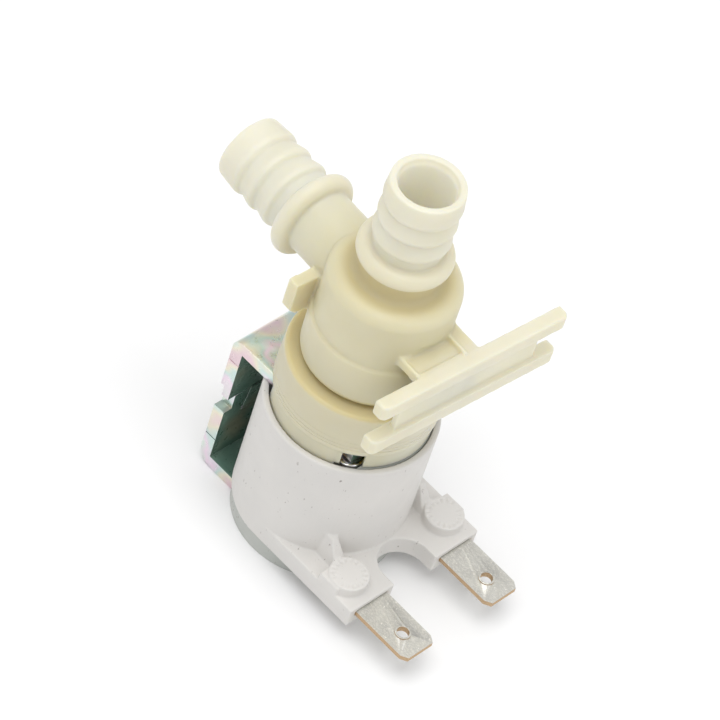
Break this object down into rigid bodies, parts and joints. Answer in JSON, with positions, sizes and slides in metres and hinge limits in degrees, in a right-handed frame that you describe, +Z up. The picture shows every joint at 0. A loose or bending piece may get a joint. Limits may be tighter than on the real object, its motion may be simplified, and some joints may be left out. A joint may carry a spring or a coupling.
{
  "type": "solenoid valve",
  "caption": "Nylon diaphragm solenoid valve with an upright and a side hose barb, mounting rails, and a plug-in coil in a steel yoke.",
  "frame": {"origin": "on the coil axis, at the closed end of the guide tube, on the plane the valve stands on", "axes": "+Z up along the coil axis to the upright port; -Y towards the blade terminals and the rails; +X to the right seen from the terminals"},
  "size_m": [0.035, 0.0621, 0.0729],
  "materials": {
    "cream_nylon": "satin translucent moulded nylon",
    "white_nylon": "satin glass-filled nylon",
    "grey_nylon": "satin glass-filled nylon",
    "zinc_steel": "iridescent passivated zinc plate",
    "tinned_brass": "dull tin plate with bare brass edges",
    "copper": "enamelled copper",
    "yellow_tape": "polyester tape",
    "stainless": "ground stainless steel",
    "rubber": "matte black rubber"
  },
  "bodies": {
    "valve": {"valve_body": "cream_nylon", "bonnet": "cream_nylon", "body_seal": "rubber", "diaphragm": "rubber", "plunger_spring": "stainless"},
    "coil": {"coil_overmould": "white_nylon", "bobbin": "grey_nylon", "winding": "copper", "winding_tape": "yellow_tape", "yoke_upper": "zinc_steel", "yoke_lower": "zinc_steel", "upper_pole_plate": "zinc_steel", "upper_flux_sleeve": "zinc_steel", "lower_flux_sleeve": "zinc_steel", "terminal_left": "tinned_brass", "terminal_right": "tinned_brass", "lead_left": "copper", "lead_right": "copper"},
    "plunger": {"plunger": "stainless", "plunger_seal": "rubber"},
    "insert": {"diaphragm_insert": "cream_nylon"}
  },
  "joints": [
    {"name": "coil_swivel", "type": "hinge", "parent": "valve", "child": "coil", "pos_m": [0, 0, 0], "axis": [0, 0, 1], "range_deg": [-8, 1]},
    {"name": "plunger_slide", "type": "slide", "parent": "valve", "child": "plunger", "axis": [0, 0, -1], "range_m": [0, 0.0025], "stiffness_N_per_m": 100, "deforming": ["plunger_spring"]},
    {"name": "insert_slide", "type": "slide", "parent": "valve", "child": "insert", "axis": [0, 0, -1], "range_m": [0, 0.0015]}
  ],
  "couplings": [
    {"joint": "insert_slide", "follows": "plunger_slide", "ratio": 0.6}
  ]
}
